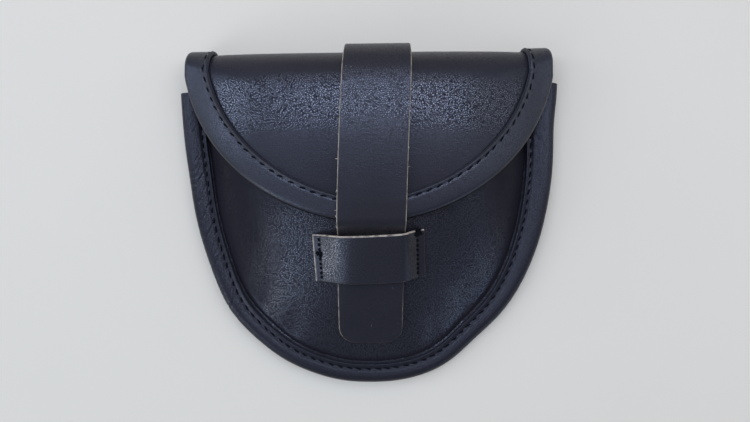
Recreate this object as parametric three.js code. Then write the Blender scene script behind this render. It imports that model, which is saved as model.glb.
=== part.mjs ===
// A black leather belt bag lying on its back: one hide for the back and the flap, a domed front panel,
// folded bindings round the seam and round the flap, and a strap that closes through a sewn keeper.
// Millimetres: +X is across the bag, +Y is towards its top edge and +Z is up, out of its front.
import * as THREE from "three";

// Leather thicknesses, and the clearance between pieces that touch
const PANEL = 1.6;
const FOLD = 1.2;
const STRAP = 2.2;
const KEEPER = 1.5;
const GAP = 0.3;

// Body: a D whose straight side is the mouth, from its binding's outer edge
const MOUTH_Y = 54;
const BODY_HALF = 76.3;
const BODY_DEEP = 121.4;
const BODY_ROUND_LEFT = 2.3;
const BODY_ROUND_RIGHT = 2.28;
const BODY_CUT_LEFT_Y = 50;

// Where the outline swells or is drawn in, by its angle from the bottom, as a share of its radius
const SWELLS = [
  { degrees: -90, half: 6, share: 0.008 },
  { degrees: -72, half: 7, share: -0.008 },
  { degrees: -45, half: 8, share: 0.014 },
  { degrees: -18, half: 9, share: -0.004 },
  { degrees: 34, half: 8.5, share: -0.0147 },
  { degrees: 60, half: 16, share: 0.013 },
  { degrees: 82, half: 6, share: -0.011 },
  { degrees: 90, half: 6, share: 0.006 },
];

// Front panel: a flat rim under the binding and a dome inside it, which dips towards the mouth under the roll
const DOME = 26;
const FRONT_POWER = 2.48;
const MOUTH_DIP = 1.6;
const MOUTH_DIP_RUN = 22;

// Folds that the dome is gathered into at the seam: where they lie from the bottom, how wide and how deep,
// and the shares of the way out to the seam where they start, are at full depth and start to run out
const GATHER_START = 0.82;
const GATHER_FULL = 0.94;
const GATHER_END = 0.96;
const GATHERS = [
  { degrees: -37, half: 3.4, deep: 0.5 },
  { degrees: -26, half: 3.2, deep: 0.5 },
  { degrees: 22, half: 3.2, deep: 0.4 },
  { degrees: 34, half: 3.6, deep: 0.5 },
];

// Bindings: the width of strip that shows on each face, and how late it widens towards the sides
const BODY_BAND_BOTTOM = 8.1;
const BODY_BAND_LEFT = 10;
const BODY_BAND_RIGHT = 12;
const BODY_BAND_POWER = 4;
const FLAP_BAND_TIP = 8.4;
const FLAP_BAND_SIDE = 11.6;

// Flap: another D, whose straight side lies just past the roll over the top edge; ROLL_LONG is how many times
// further the roll reaches in over the flap than over the back, in the bag's middle
const FLAP_HALF = 73.7;
const FLAP_LINE_Y = 65.8;
const FLAP_SIDE_Y = 55.3;
const FLAP_TIP_Y = -1.8;
const FLAP_ROUND = 1.9;
const FLAP_LIFT = 3.7;
const FLAP_FOOT = 0.25;
const FLAP_POWER = 2.2;
const FLAP_EDGE = 0.8;
const TOP_Y = 61.7;
const TOP_SAG = 3.2;
const TOP_TILT = 0.0125;
const ROLL_REACH = 11;
const ROLL_LONG = 1.36;
const ROLL_SOFT = 1;
const ROLL_RUN = 30;
const ROLL_FADE_Y = 14.8;

// Strap: up the front from its round end, over the roll, which it stands off by STRAP_BULGE at most, and down
// the back to its square end
const STRAP_HALF = 12.15;
const STRAP_END_Y = -48.1;
const STRAP_BACK_Y = -20.2;
const STRAP_CORNER = 6.5;
const STRAP_X = 0.7;
const STRAP_LEAN = -0.0077;
const STRAP_BOW = 0.00029;
const STRAP_DROP = 8;
const STRAP_CLEAR = 2.3;
const STRAP_BRIDGE = 40;
const STRAP_BULGE = 0.7;

// Belt passage between the strap and the back panel, and where that panel goes down to the seam,
// as shares of the way out
const BELT_LOW_Y = -2.2;
const BELT_HIGH_Y = 39.8;
const BELT_GAP = 5.4;
const BELT_RAMP = 9;
const BACK_INNER = 0.75;
const BACK_OUTER = 0.97;

// Keeper: a strip sewn to the front panel on both sides of the strap, with its seams in from its ends,
// the ramps from them up to its crest, how softly these bend, and the crest's height at its two long edges
const KEEPER_X = 0.2;
const KEEPER_Y = -13.65;
const KEEPER_LONG = 40.6;
const KEEPER_WIDE = 17.8;
const KEEPER_TILT = THREE.MathUtils.degToRad(2.7);
const KEEPER_SEAM_LEFT = 2.6;
const KEEPER_SEAM_RIGHT = 3.1;
const KEEPER_RAMP_LEFT = 8.8;
const KEEPER_RAMP_RIGHT = 4.9;
const KEEPER_BEND = 0.35;
const KEEPER_CREST_LOW = 4.1;
const KEEPER_CREST_HIGH = 5.85;

// Heights of the pieces' middles in the seam, from the ground up
const BACK_Z = FOLD + GAP + PANEL / 2;
const FRONT_Z = BACK_Z + PANEL + GAP;
const SEAM_Z = (BACK_Z + FRONT_Z) / 2;
const STRAP_Z = STRAP / 2;
const SEAT_Z = STRAP + GAP + PANEL / 2;

// Distances from the middle of one leather to the middle of the next
const BODY_FOLD_OFF = FRONT_Z - SEAM_Z + PANEL / 2 + GAP + FOLD / 2;
const FLAP_FOLD_OFF = PANEL / 2 + GAP + FOLD / 2;
const STRAP_OFF = PANEL / 2 + GAP + STRAP / 2;
const KEEPER_OFF = PANEL / 2 + GAP + KEEPER / 2;

// Where the strap starts to drop off the flap, and where it is down on the front panel
const DROP_HIGH_Y = FLAP_TIP_Y + STRAP_CLEAR;
const DROP_LOW_Y = DROP_HIGH_Y - STRAP_DROP;

// The angle on the flap's outline at which its sides go over into the roll, and the roll's half width
const FLAP_DEEP = FLAP_LINE_Y - FLAP_TIP_Y;
const FLAP_ANGLE = Math.acos(((FLAP_LINE_Y - FLAP_SIDE_Y) / FLAP_DEEP) ** (FLAP_ROUND / 2));
const ROLL_HALF = FLAP_HALF * Math.sin(FLAP_ANGLE) ** (2 / FLAP_ROUND);

// How far the leather edges lie inside the folds' outer edges
const BODY_INSET = BODY_FOLD_OFF + FOLD / 2;
const FLAP_INSET = FLAP_FOLD_OFF + FOLD / 2;
const BAND_CLEAR = 1;

// Mesh steps
const ROUND_STEPS = 52;
const DOME_STEPS = 9;
const DOME_CROWDING = 1.5;
const DOME_FIRST = 0.45;
const ACROSS_STEPS = 22;
const EDGE_CROWDING = 0.75;
const BACK_STEPS = 11;
const BACK_CROWDING = 0.8;
const NECK_STEPS = 2;
const ROLL_STEPS = 8;
const FLAP_STEPS = 13;
const FLAP_EDGE_STEPS = 36;
const NOSE_STEPS = 4;
const LEG_STEPS = 3;
const STRAP_ACROSS = 4;
const STRAP_STEP = 5.5;
const STRAP_DROP_STEP = 1.6;
const STRAP_BACK_STEP = 9;
const STRAP_CORNER_STEPS = [0, 0.08, 0.25, 0.55];
const KEEPER_STEPS = 20;
const KEEPER_ACROSS = 5;
const TIP_ANGLE = 0.05;
const NUDGE = 0.01;

const { lerp, smoothstep, degToRad } = THREE.MathUtils;
const QUARTER = Math.PI / 2;

// Fractions 0 to 1 in count even steps, both ends included
function fractions(count) {
  return Array.from({ length: count + 1 }, (_, k) => k / count);
}

// Values from low up to high in even steps of about one size, without high itself
function stepsUp(low, high, step) {
  const count = Math.round((high - low) / step);
  return fractions(count).slice(0, -1).map((t) => lerp(low, high, t));
}

function signedPower(value, power) {
  return Math.sign(value) * Math.abs(value) ** power;
}

function softMax(a, b, soft) {
  return (a + b + Math.hypot(a - b, soft)) / 2;
}

function softMin(a, b, soft) {
  return a + b - softMax(a, b, soft);
}

// A rounded D of unit half width and depth: angle 0 is its bottom, plus and minus 90 degrees its corners
function roundedD(angle, round) {
  const across = signedPower(Math.sin(angle), 2 / round);
  const down = Math.max(0, Math.cos(angle)) ** (2 / round);
  return { across, down };
}

function bodyRound(x) {
  return x < 0 ? BODY_ROUND_LEFT : BODY_ROUND_RIGHT;
}

// A sum of rows that each fade out by half on both sides of their angle
function fadingSum(rows, angle, size) {
  return rows.reduce((sum, row) => {
    const away = (angle - degToRad(row.degrees)) / degToRad(row.half);
    return sum + size(row) * Math.exp(-away * away);
  }, 0);
}

function swell(across, down) {
  return 1 + fadingSum(SWELLS, Math.atan2(across, down), (row) => row.share);
}

// The body's outline for a half width and a depth below the mouth
function bodyCurve(angle, half, deep) {
  const { across, down } = roundedD(angle, bodyRound(angle));
  const scale = swell(across, down);
  return new THREE.Vector2(half * across * scale, MOUTH_Y - deep * down * scale);
}

function bodyEdge(angle, inset) {
  return bodyCurve(angle, BODY_HALF - inset, BODY_DEEP - inset);
}

function flapEdge(angle, inset) {
  const { across, down } = roundedD(angle, FLAP_ROUND);
  return new THREE.Vector2((FLAP_HALF - inset) * across, FLAP_LINE_Y - (FLAP_DEEP - inset) * down);
}

// The direction in the plan that points into the D from its edge
function inwardOf(edge, angle, inset) {
  const along = edge(angle + NUDGE, inset).sub(edge(angle - NUDGE, inset)).normalize();
  return new THREE.Vector2(-along.y, along.x);
}

// How far out a plan point lies on an even body drawn in by inset: 0 at the mouth's middle, 1 on the outline
function evenShare(x, y, inset) {
  const across = Math.abs(x) / (BODY_HALF - inset);
  const down = Math.max(0, MOUTH_Y - y) / (BODY_DEEP - inset);
  const round = bodyRound(x);
  return (across ** round + down ** round) ** (1 / round);
}

// The same on the body with its swells
function bodyShare(x, y, inset) {
  const down = Math.max(0, MOUTH_Y - y) / (BODY_DEEP - inset);
  return evenShare(x, y, inset) / swell(x / (BODY_HALF - inset), down);
}

// The direction of a plan point from the mouth's middle: 0 is straight down the bag
function outlineAngle(x, y) {
  return Math.atan2(x / BODY_HALF, Math.max(0, MOUTH_Y - y) / BODY_DEEP);
}

// The binding is narrowest at the bottom of the bag
function bodyBand(x, y) {
  const side = x < 0 ? BODY_BAND_LEFT : BODY_BAND_RIGHT;
  return lerp(BODY_BAND_BOTTOM, side, Math.sin(outlineAngle(x, y)) ** BODY_BAND_POWER);
}

function flatRim(x, y) {
  return bodyBand(x, y) + BAND_CLEAR;
}

// The dome's rise: its foot is sharp at the front panel's rim, and eased out under the flap
function frontRise(share) {
  return DOME * Math.max(0, 1 - share ** FRONT_POWER);
}

function flapRise(share) {
  return DOME * softMax(0, 1 - share ** FLAP_POWER, FLAP_FOOT) ** FLAP_EDGE;
}

// The depth of the gathers, which run in from the seam and fade out over the dome
function gatherDepth(x, y, share) {
  const angle = outlineAngle(x, y);
  const fade = smoothstep(share, GATHER_START, GATHER_FULL) * (1 - smoothstep(share, GATHER_END, 1));
  return fade * fadingSum(GATHERS, angle, (row) => row.deep);
}

function frontHeight(x, y) {
  const share = bodyShare(x, y, flatRim(x, y));
  const dip = 1 - MOUTH_DIP / DOME * smoothstep(y, MOUTH_Y - MOUTH_DIP_RUN, MOUTH_Y);
  return FRONT_Z + frontRise(share) * dip - gatherDepth(x, y, share);
}

function flapHeight(x, y) {
  const share = evenShare(x, y, flatRim(x, y) - FLAP_LIFT);
  return FRONT_Z + FLAP_LIFT + flapRise(share);
}

// The back panel lies on the strap where it is sewn, and arches over the belt passage
function backHeight(x, y) {
  const inner = 1 - smoothstep(bodyShare(x, y, flatRim(x, y)), BACK_INNER, BACK_OUTER);
  const above = smoothstep(y, BELT_LOW_Y - BELT_RAMP, BELT_LOW_Y);
  const below = 1 - smoothstep(y, BELT_HIGH_Y, BELT_HIGH_Y + BELT_RAMP);
  return BACK_Z + inner * (SEAT_Z - BACK_Z + BELT_GAP * above * below);
}

// A point and its upward normal on a height over the plan
function onHeight(height, x, y) {
  const slopeX = (height(x + NUDGE, y) - height(x - NUDGE, y)) / (2 * NUDGE);
  const slopeY = (height(x, y + NUDGE) - height(x, y - NUDGE)) / (2 * NUDGE);
  const normal = new THREE.Vector3(-slopeX, -slopeY, 1).normalize();
  return { point: new THREE.Vector3(x, y, height(x, y)), normal };
}

// The two quarter ellipses that carry the hide from the back, at start, over the top to the flap, at end
function rollShape(x) {
  const aside = (x / ROLL_HALF) ** 2;
  const top = TOP_Y + TOP_SAG * aside + TOP_TILT * x;
  const back = backHeight(x, TOP_Y);
  const reach = softMin(ROLL_REACH, (flapHeight(x, TOP_Y) - back) / 2, ROLL_SOFT);
  const end = top - lerp(ROLL_LONG, 1, aside) * reach;
  const rise = (flapHeight(x, end) - back) / 2;
  return { back, rise, top, start: top - reach, end };
}

// Where the roll starts at the hide's side edges
const SIDE_START = rollShape(ROLL_HALF - FLAP_INSET).start;

// The hide's middle: run is below 0 on the back, 0 to ROLL_RUN round the roll, and more on the flap
function hideMiddle(x, run) {
  const { back, rise, top, start, end } = rollShape(x);
  if (run < 0) {
    return new THREE.Vector3(x, start + run, backHeight(x, start + run));
  }
  if (run > ROLL_RUN) {
    const y = end - (run - ROLL_RUN);
    return new THREE.Vector3(x, y, flapHeight(x, y));
  }
  const turn = (Math.PI * run) / ROLL_RUN;
  const y = lerp(turn < QUARTER ? start : end, top, Math.sin(turn));
  return new THREE.Vector3(x, y, back + rise * (1 - Math.cos(turn)));
}

function onHide([x, run]) {
  const across = hideMiddle(x + NUDGE, run).sub(hideMiddle(x - NUDGE, run));
  const along = hideMiddle(x, run + NUDGE).sub(hideMiddle(x, run - NUDGE));
  return { point: hideMiddle(x, run), normal: along.cross(across).normalize() };
}

function backRun(x, y) {
  return [x, y - rollShape(x).start];
}

function flapRun(x, y) {
  return [x, ROLL_RUN + rollShape(x).end - y];
}

function offset({ point, normal }, distance) {
  return { point: point.clone().addScaledVector(normal, distance), normal };
}

// A closed leather of even thickness about a grid of middle points: two skins and a rim on all sides
function leather(grid, thickness) {
  const rows = grid.length;
  const columns = grid[0].length;
  const skins = [thickness / 2, -thickness / 2];
  const points = skins.flatMap((side) => grid.flat().map((place) => offset(place, side).point));
  const at = (skin, row, column) => skin * rows * columns + row * columns + column;
  const faces = [];
  const quad = (a, b, c, d) => faces.push(a, b, c, a, c, d);
  for (let r = 0; r + 1 < rows; r++) {
    for (let c = 0; c + 1 < columns; c++) {
      quad(at(0, r, c), at(0, r, c + 1), at(0, r + 1, c + 1), at(0, r + 1, c));
      quad(at(1, r, c), at(1, r + 1, c), at(1, r + 1, c + 1), at(1, r, c + 1));
    }
  }
  for (let r = 0; r + 1 < rows; r++) {
    quad(at(0, r, 0), at(0, r + 1, 0), at(1, r + 1, 0), at(1, r, 0));
    quad(at(0, r + 1, columns - 1), at(0, r, columns - 1), at(1, r, columns - 1), at(1, r + 1, columns - 1));
  }
  for (let c = 0; c + 1 < columns; c++) {
    quad(at(0, 0, c + 1), at(0, 0, c), at(1, 0, c), at(1, 0, c + 1));
    quad(at(0, rows - 1, c), at(0, rows - 1, c + 1), at(1, rows - 1, c + 1), at(1, rows - 1, c));
  }
  const geometry = new THREE.BufferGeometry().setFromPoints(points);
  geometry.setIndex(faces);
  geometry.computeVertexNormals();
  return geometry;
}

function frontPanel() {
  const angles = fractions(ROUND_STEPS).map((t) => lerp(-QUARTER, QUARTER, t));
  const domeRows = fractions(DOME_STEPS).map((t) => 1 - (1 - t) ** DOME_CROWDING);
  const ring = (angle, share, rim) => {
    const edge = bodyEdge(angle, 0);
    const inset = lerp(flatRim(edge.x, edge.y), BODY_INSET, rim);
    const half = (BODY_HALF - inset) * lerp(DOME_FIRST, 1, share);
    const spot = bodyCurve(angle, half, (BODY_DEEP - inset) * share);
    return onHeight(frontHeight, spot.x, spot.y);
  };
  const grid = domeRows.map((share) => angles.map((angle) => ring(angle, share, 0)));
  grid.push(angles.map((angle) => ring(angle, 1, 1)));
  return leather(grid.reverse(), PANEL);
}

// Fractions 0 to 1 across the hide, closer together near its edges
function acrossHide() {
  return fractions(ACROSS_STEPS).map((t) => {
    const even = lerp(-1, 1, t);
    return (1 + lerp(even, Math.sin(QUARTER * even), EDGE_CROWDING)) / 2;
  });
}

// A row of the hide between its two edges; near the roll the row bends with the side of the roll it meets
function hideRow(left, right, toRun, meets) {
  const bend = smoothstep(right.y, ROLL_FADE_Y, SIDE_START);
  return acrossHide().map((t) => {
    const x = lerp(left.x, right.x, t);
    const level = lerp(rollShape(left.x)[meets], rollShape(right.x)[meets], t);
    return onHide(toRun(x, lerp(left.y, right.y, t) + bend * (rollShape(x)[meets] - level)));
  });
}

// The hide's side edge between the mouth and the roll
function neckEdge(side, y) {
  const share = smoothstep(y, MOUTH_Y, SIDE_START);
  return lerp(bodyEdge(side * QUARTER, BODY_INSET).x, side * (ROLL_HALF - FLAP_INSET), share);
}

function backFlap() {
  const grid = [];
  for (const t of fractions(BACK_STEPS)) {
    const angle = lerp(TIP_ANGLE, QUARTER, lerp(t, Math.sin(QUARTER * t), BACK_CROWDING));
    grid.push(hideRow(bodyEdge(-angle, BODY_INSET), bodyEdge(angle, BODY_INSET), backRun, "start"));
  }
  for (const t of fractions(NECK_STEPS).slice(1)) {
    const y = lerp(MOUTH_Y, SIDE_START, t);
    const [left, right] = [-1, 1].map((side) => new THREE.Vector2(neckEdge(side, y), y));
    grid.push(hideRow(left, right, backRun, "start"));
  }
  const half = ROLL_HALF - FLAP_INSET;
  for (const t of fractions(ROLL_STEPS).slice(1)) {
    grid.push(acrossHide().map((u) => onHide([lerp(-half, half, u), t * ROLL_RUN])));
  }
  for (const t of fractions(FLAP_STEPS)) {
    const angle = lerp(FLAP_ANGLE, TIP_ANGLE, t);
    grid.push(hideRow(flapEdge(-angle, FLAP_INSET), flapEdge(angle, FLAP_INSET), flapRun, "end"));
  }
  return leather(grid.reverse(), PANEL);
}

// A strip folded over an edge: place(s) is the spot at s in from the fold's outer edge
function foldedRow(place, off, inset, band) {
  const legs = fractions(LEG_STEPS).map((t) => place(lerp(band, inset, t)));
  const nose = legs[LEG_STEPS];
  const out = nose.point.clone().sub(place(inset + NUDGE).point).normalize();
  const row = legs.map((spot) => offset(spot, off));
  for (const t of fractions(NOSE_STEPS).slice(1, -1)) {
    const turn = lerp(QUARTER, -QUARTER, t);
    const normal = out.clone().multiplyScalar(Math.cos(turn)).addScaledVector(nose.normal, Math.sin(turn));
    row.push(offset({ point: nose.point, normal }, off));
  }
  for (const { point, normal } of legs.reverse()) {
    row.push(offset({ point, normal: normal.clone().negate() }, off));
  }
  return row;
}

function bodyBinding() {
  const cutShare = (MOUTH_Y - BODY_CUT_LEFT_Y) / BODY_DEEP;
  const first = -Math.acos(cutShare ** (BODY_ROUND_LEFT / 2));
  const grid = fractions(ROUND_STEPS).map((t) => {
    const angle = lerp(first, QUARTER, t);
    const edge = bodyEdge(angle, 0);
    const inward = inwardOf(bodyEdge, angle, 0);
    const up = new THREE.Vector3(0, 0, 1);
    const place = (s) => {
      const spot = edge.clone().addScaledVector(inward, s);
      return { point: new THREE.Vector3(spot.x, spot.y, SEAM_Z), normal: up };
    };
    return foldedRow(place, BODY_FOLD_OFF, BODY_INSET, bodyBand(edge.x, edge.y));
  });
  return leather(grid, FOLD);
}

function flapBinding() {
  const bandAt = (place, angle = QUARTER) => {
    const band = lerp(FLAP_BAND_TIP, FLAP_BAND_SIDE, Math.abs(Math.sin(angle)));
    return foldedRow((s) => onHide(place(s)), FLAP_FOLD_OFF, FLAP_INSET, band);
  };
  const sideRows = (side) => {
    const neck = fractions(NECK_STEPS).map((t) => {
      const y = lerp(MOUTH_Y + 2 * GAP, SIDE_START, t);
      return bandAt((s) => backRun(neckEdge(side, y) + side * (FLAP_INSET - s), y));
    });
    const roll = fractions(ROLL_STEPS).slice(1);
    return neck.concat(roll.map((t) => bandAt((s) => [side * (ROLL_HALF - s), t * ROLL_RUN])));
  };
  const flapRows = fractions(FLAP_EDGE_STEPS).map((t) => {
    const angle = lerp(-FLAP_ANGLE, FLAP_ANGLE, t);
    const edge = flapEdge(angle, 0);
    const inward = inwardOf(flapEdge, angle, 0);
    return bandAt((s) => flapRun(edge.x + s * inward.x, edge.y + s * inward.y), angle);
  });
  return leather([...sideRows(-1), ...flapRows, ...sideRows(1).reverse()], FOLD);
}

function strapMiddle(y) {
  const fromEnd = y - STRAP_END_Y;
  return STRAP_X + STRAP_LEAN * fromEnd + STRAP_BOW * fromEnd ** 2;
}

// The strap on the bag's front: it bridges the flap's binding and drops to the front panel below it
function onStrapFront(x, y) {
  const above = (y - FLAP_TIP_Y - FLAP_BAND_TIP) / STRAP_BRIDGE;
  const bridge = 1 - Math.min(1, Math.max(0, above));
  const high = offset(onHide(flapRun(x, y)), STRAP_OFF + bridge * (GAP + FOLD));
  const low = offset(onHeight(frontHeight, x, y), STRAP_OFF);
  const share = smoothstep(y, DROP_LOW_Y, DROP_HIGH_Y);
  const point = low.point.lerp(high.point, share);
  return { point, normal: low.normal.clone().lerp(high.normal, share).normalize() };
}

// Half the strap's width at a distance from its round end
function strapHalf(fromEnd) {
  const short = Math.max(0, STRAP_CORNER - fromEnd);
  return STRAP_HALF - STRAP_CORNER + Math.sqrt(STRAP_CORNER ** 2 - short ** 2);
}

function strap() {
  const across = (middle, half) => fractions(STRAP_ACROSS).map((t) => middle + lerp(-half, half, t));
  const { start, end } = rollShape(0);
  const cornerRows = STRAP_CORNER_STEPS.map((share) => STRAP_END_Y + share * STRAP_CORNER);
  const lowRows = stepsUp(STRAP_END_Y + STRAP_CORNER, DROP_LOW_Y, STRAP_STEP);
  const dropRows = stepsUp(DROP_LOW_Y, DROP_HIGH_Y, STRAP_DROP_STEP);
  const flapRows = stepsUp(DROP_HIGH_Y, end, STRAP_STEP);
  const grid = [...cornerRows, ...lowRows, ...dropRows, ...flapRows, end].map((y) => {
    const half = strapHalf(y - STRAP_END_Y);
    return across(strapMiddle(y), half).map((x) => onStrapFront(x, y));
  });
  for (const t of fractions(ROLL_STEPS).slice(1, -1)) {
    const run = ROLL_RUN * (1 - t);
    const middle = strapMiddle(hideMiddle(0, run).y);
    const off = STRAP_OFF + STRAP_BULGE * Math.sin(Math.PI * t);
    grid.push(across(middle, STRAP_HALF).map((x) => offset(onHide([x, run]), off)));
  }
  const backSteps = Math.round((start - STRAP_BACK_Y) / STRAP_BACK_STEP);
  const down = new THREE.Vector3(0, 0, -1);
  for (const t of fractions(backSteps)) {
    const y = lerp(start, STRAP_BACK_Y, t);
    const row = across(strapMiddle(y), STRAP_HALF);
    grid.push(row.map((x) => ({ point: new THREE.Vector3(x, y, STRAP_Z), normal: down })));
  }
  return leather(grid, STRAP);
}

// How far the keeper has risen at a distance along it: 0 at its seams and 1 on its crest
function keeperRise(long) {
  const fromLeft = (KEEPER_LONG / 2 + long - KEEPER_SEAM_LEFT) / KEEPER_RAMP_LEFT;
  const fromRight = (KEEPER_LONG / 2 - long - KEEPER_SEAM_RIGHT) / KEEPER_RAMP_RIGHT;
  const climbed = softMax(0, Math.min(fromLeft, fromRight), KEEPER_BEND);
  return softMin(1, climbed, KEEPER_BEND);
}

// The keeper's middle: flat on the front panel at its ends, and arched over the strap between them
function keeperMiddle(long, wide) {
  const spot = new THREE.Vector2(long, wide).rotateAround(new THREE.Vector2(), KEEPER_TILT);
  const x = KEEPER_X + spot.x;
  const y = KEEPER_Y + spot.y;
  const crest = lerp(KEEPER_CREST_LOW, KEEPER_CREST_HIGH, wide / KEEPER_WIDE + 0.5);
  return offset(onHeight(frontHeight, x, y), KEEPER_OFF + crest * keeperRise(long)).point;
}

function keeper() {
  const grid = fractions(KEEPER_ACROSS).map((v) =>
    fractions(KEEPER_STEPS).map((u) => {
      const long = lerp(-0.5, 0.5, u) * KEEPER_LONG;
      const wide = lerp(-0.5, 0.5, v) * KEEPER_WIDE;
      const along = keeperMiddle(long + NUDGE, wide).sub(keeperMiddle(long - NUDGE, wide));
      const across = keeperMiddle(long, wide + NUDGE).sub(keeperMiddle(long, wide - NUDGE));
      return { point: keeperMiddle(long, wide), normal: along.cross(across).normalize() };
    }),
  );
  return leather(grid, KEEPER);
}

// Each piece with its leather: the panels are grained, the strap and the keeper smooth
const PIECES = [
  { name: "back_flap", shape: backFlap, colour: 0x24272e, roughness: 0.5 },
  { name: "front_panel", shape: frontPanel, colour: 0x24272e, roughness: 0.5 },
  { name: "body_binding", shape: bodyBinding, colour: 0x1f2228, roughness: 0.45 },
  { name: "flap_binding", shape: flapBinding, colour: 0x1f2228, roughness: 0.45 },
  { name: "strap", shape: strap, colour: 0x2a2b2e, roughness: 0.55 },
  { name: "keeper", shape: keeper, colour: 0x26272a, roughness: 0.5 },
];

const bag = new THREE.Group();
for (const { name, shape, colour, roughness } of PIECES) {
  const material = new THREE.MeshStandardMaterial({ color: colour, roughness, metalness: 0 });
  const mesh = new THREE.Mesh(shape(), material);
  mesh.name = name;
  bag.add(mesh);
}

export default bag;
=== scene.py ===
"""Looks for a black leather belt bag that lies on its back, seen from straight above.

Shapes are worked out in millimetres, from the same sizes as the CAD part, and scaled to metres when meshed.
+X is across the bag, +Y is towards its top edge and +Z is up, out of its front.
"""
import math
from collections import namedtuple

import bmesh
import bpy
import numpy as np
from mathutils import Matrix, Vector


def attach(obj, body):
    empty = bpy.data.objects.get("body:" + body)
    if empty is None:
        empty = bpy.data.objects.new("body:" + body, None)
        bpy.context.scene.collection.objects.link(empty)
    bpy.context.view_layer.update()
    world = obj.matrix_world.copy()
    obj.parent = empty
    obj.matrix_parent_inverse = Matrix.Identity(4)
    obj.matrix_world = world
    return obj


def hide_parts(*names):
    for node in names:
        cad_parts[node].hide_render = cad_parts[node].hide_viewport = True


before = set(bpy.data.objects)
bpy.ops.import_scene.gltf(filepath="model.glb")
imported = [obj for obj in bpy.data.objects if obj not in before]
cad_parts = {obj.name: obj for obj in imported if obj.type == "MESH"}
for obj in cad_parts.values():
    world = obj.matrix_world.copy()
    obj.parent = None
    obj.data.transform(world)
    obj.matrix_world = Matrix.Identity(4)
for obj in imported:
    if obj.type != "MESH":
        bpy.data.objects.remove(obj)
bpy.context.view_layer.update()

# Metres in a millimetre, the seed of random draws, a quarter turn and the step for slopes
MM = 0.001
SEED = 7
QUARTER = math.pi / 2
NUDGE = 0.01

# Leather thicknesses and clearance
PANEL = 1.6
FOLD = 1.2
STRAP = 2.2
KEEPER = 1.5
GAP = 0.3

# Body: a D whose straight side is the mouth
MOUTH_Y = 54
BODY_HALF = 76.3
BODY_DEEP = 121.4
BODY_ROUND_LEFT = 2.3
BODY_ROUND_RIGHT = 2.28
BODY_CUT_LEFT_Y = 50
Lobe = namedtuple("Lobe", "degrees half size")
SWELLS = [
    Lobe(-90, 6, 0.008),
    Lobe(-72, 7, -0.008),
    Lobe(-45, 8, 0.014),
    Lobe(-18, 9, -0.004),
    Lobe(34, 8.5, -0.0147),
    Lobe(60, 16, 0.013),
    Lobe(82, 6, -0.011),
    Lobe(90, 6, 0.006),
]

# Front panel's dome and the folds gathered into its seam
DOME = 26
FRONT_POWER = 2.48
MOUTH_DIP = 1.6
MOUTH_DIP_RUN = 22
GATHER_START = 0.82
GATHER_FULL = 0.94
GATHER_END = 0.96
GATHERS = [Lobe(-37, 3.4, 0.5), Lobe(-26, 3.2, 0.5), Lobe(22, 3.2, 0.4), Lobe(34, 3.6, 0.5)]

# Bindings
BODY_BAND_BOTTOM = 8.1
BODY_BAND_LEFT = 10
BODY_BAND_RIGHT = 12
BODY_BAND_POWER = 4
FLAP_BAND_TIP = 8.4
FLAP_BAND_SIDE = 11.6

# Flap and the roll over the top edge
FLAP_HALF = 73.7
FLAP_LINE_Y = 65.8
FLAP_SIDE_Y = 55.3
FLAP_TIP_Y = -1.8
FLAP_ROUND = 1.9
FLAP_LIFT = 3.7
FLAP_FOOT = 0.25
FLAP_POWER = 2.2
FLAP_EDGE = 0.8
TOP_Y = 61.7
TOP_SAG = 3.2
TOP_TILT = 0.0125
ROLL_REACH = 11
ROLL_LONG = 1.36
ROLL_SOFT = 1
ROLL_RUN = 30
ROLL_FADE_Y = 14.8

# Strap, belt passage and keeper
STRAP_HALF = 12.15
STRAP_END_Y = -48.1
STRAP_BACK_Y = -20.2
STRAP_CORNER = 6.5
STRAP_X = 0.7
STRAP_LEAN = -0.0077
STRAP_BOW = 0.00029
STRAP_DROP = 8
STRAP_CLEAR = 2.3
STRAP_BRIDGE = 40
STRAP_BULGE = 0.7
BELT_LOW_Y = -2.2
BELT_HIGH_Y = 39.8
BELT_GAP = 5.4
BELT_RAMP = 9
BACK_INNER = 0.75
BACK_OUTER = 0.97
KEEPER_X = 0.2
KEEPER_Y = -13.65
KEEPER_LONG = 40.6
KEEPER_WIDE = 17.8
KEEPER_TILT = math.radians(2.7)
KEEPER_SEAM_LEFT = 2.6
KEEPER_SEAM_RIGHT = 3.1
KEEPER_RAMP_LEFT = 8.8
KEEPER_RAMP_RIGHT = 4.9
KEEPER_BEND = 0.35
KEEPER_CREST_LOW = 4.1
KEEPER_CREST_HIGH = 5.85

# Heights and distances from one leather's middle to the next
BACK_Z = FOLD + GAP + PANEL / 2
FRONT_Z = BACK_Z + PANEL + GAP
SEAM_Z = (BACK_Z + FRONT_Z) / 2
STRAP_Z = STRAP / 2
SEAT_Z = STRAP + GAP + PANEL / 2
BODY_FOLD_OFF = FRONT_Z - SEAM_Z + PANEL / 2 + GAP + FOLD / 2
FLAP_FOLD_OFF = PANEL / 2 + GAP + FOLD / 2
STRAP_OFF = PANEL / 2 + GAP + STRAP / 2
KEEPER_OFF = PANEL / 2 + GAP + KEEPER / 2
DROP_HIGH_Y = FLAP_TIP_Y + STRAP_CLEAR
DROP_LOW_Y = DROP_HIGH_Y - STRAP_DROP
FLAP_DEEP = FLAP_LINE_Y - FLAP_TIP_Y
FLAP_ANGLE = math.acos(((FLAP_LINE_Y - FLAP_SIDE_Y) / FLAP_DEEP) ** (FLAP_ROUND / 2))
ROLL_HALF = FLAP_HALF * math.sin(FLAP_ANGLE) ** (2 / FLAP_ROUND)
BODY_INSET = BODY_FOLD_OFF + FOLD / 2
FLAP_INSET = FLAP_FOLD_OFF + FOLD / 2
BAND_CLEAR = 1

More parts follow.
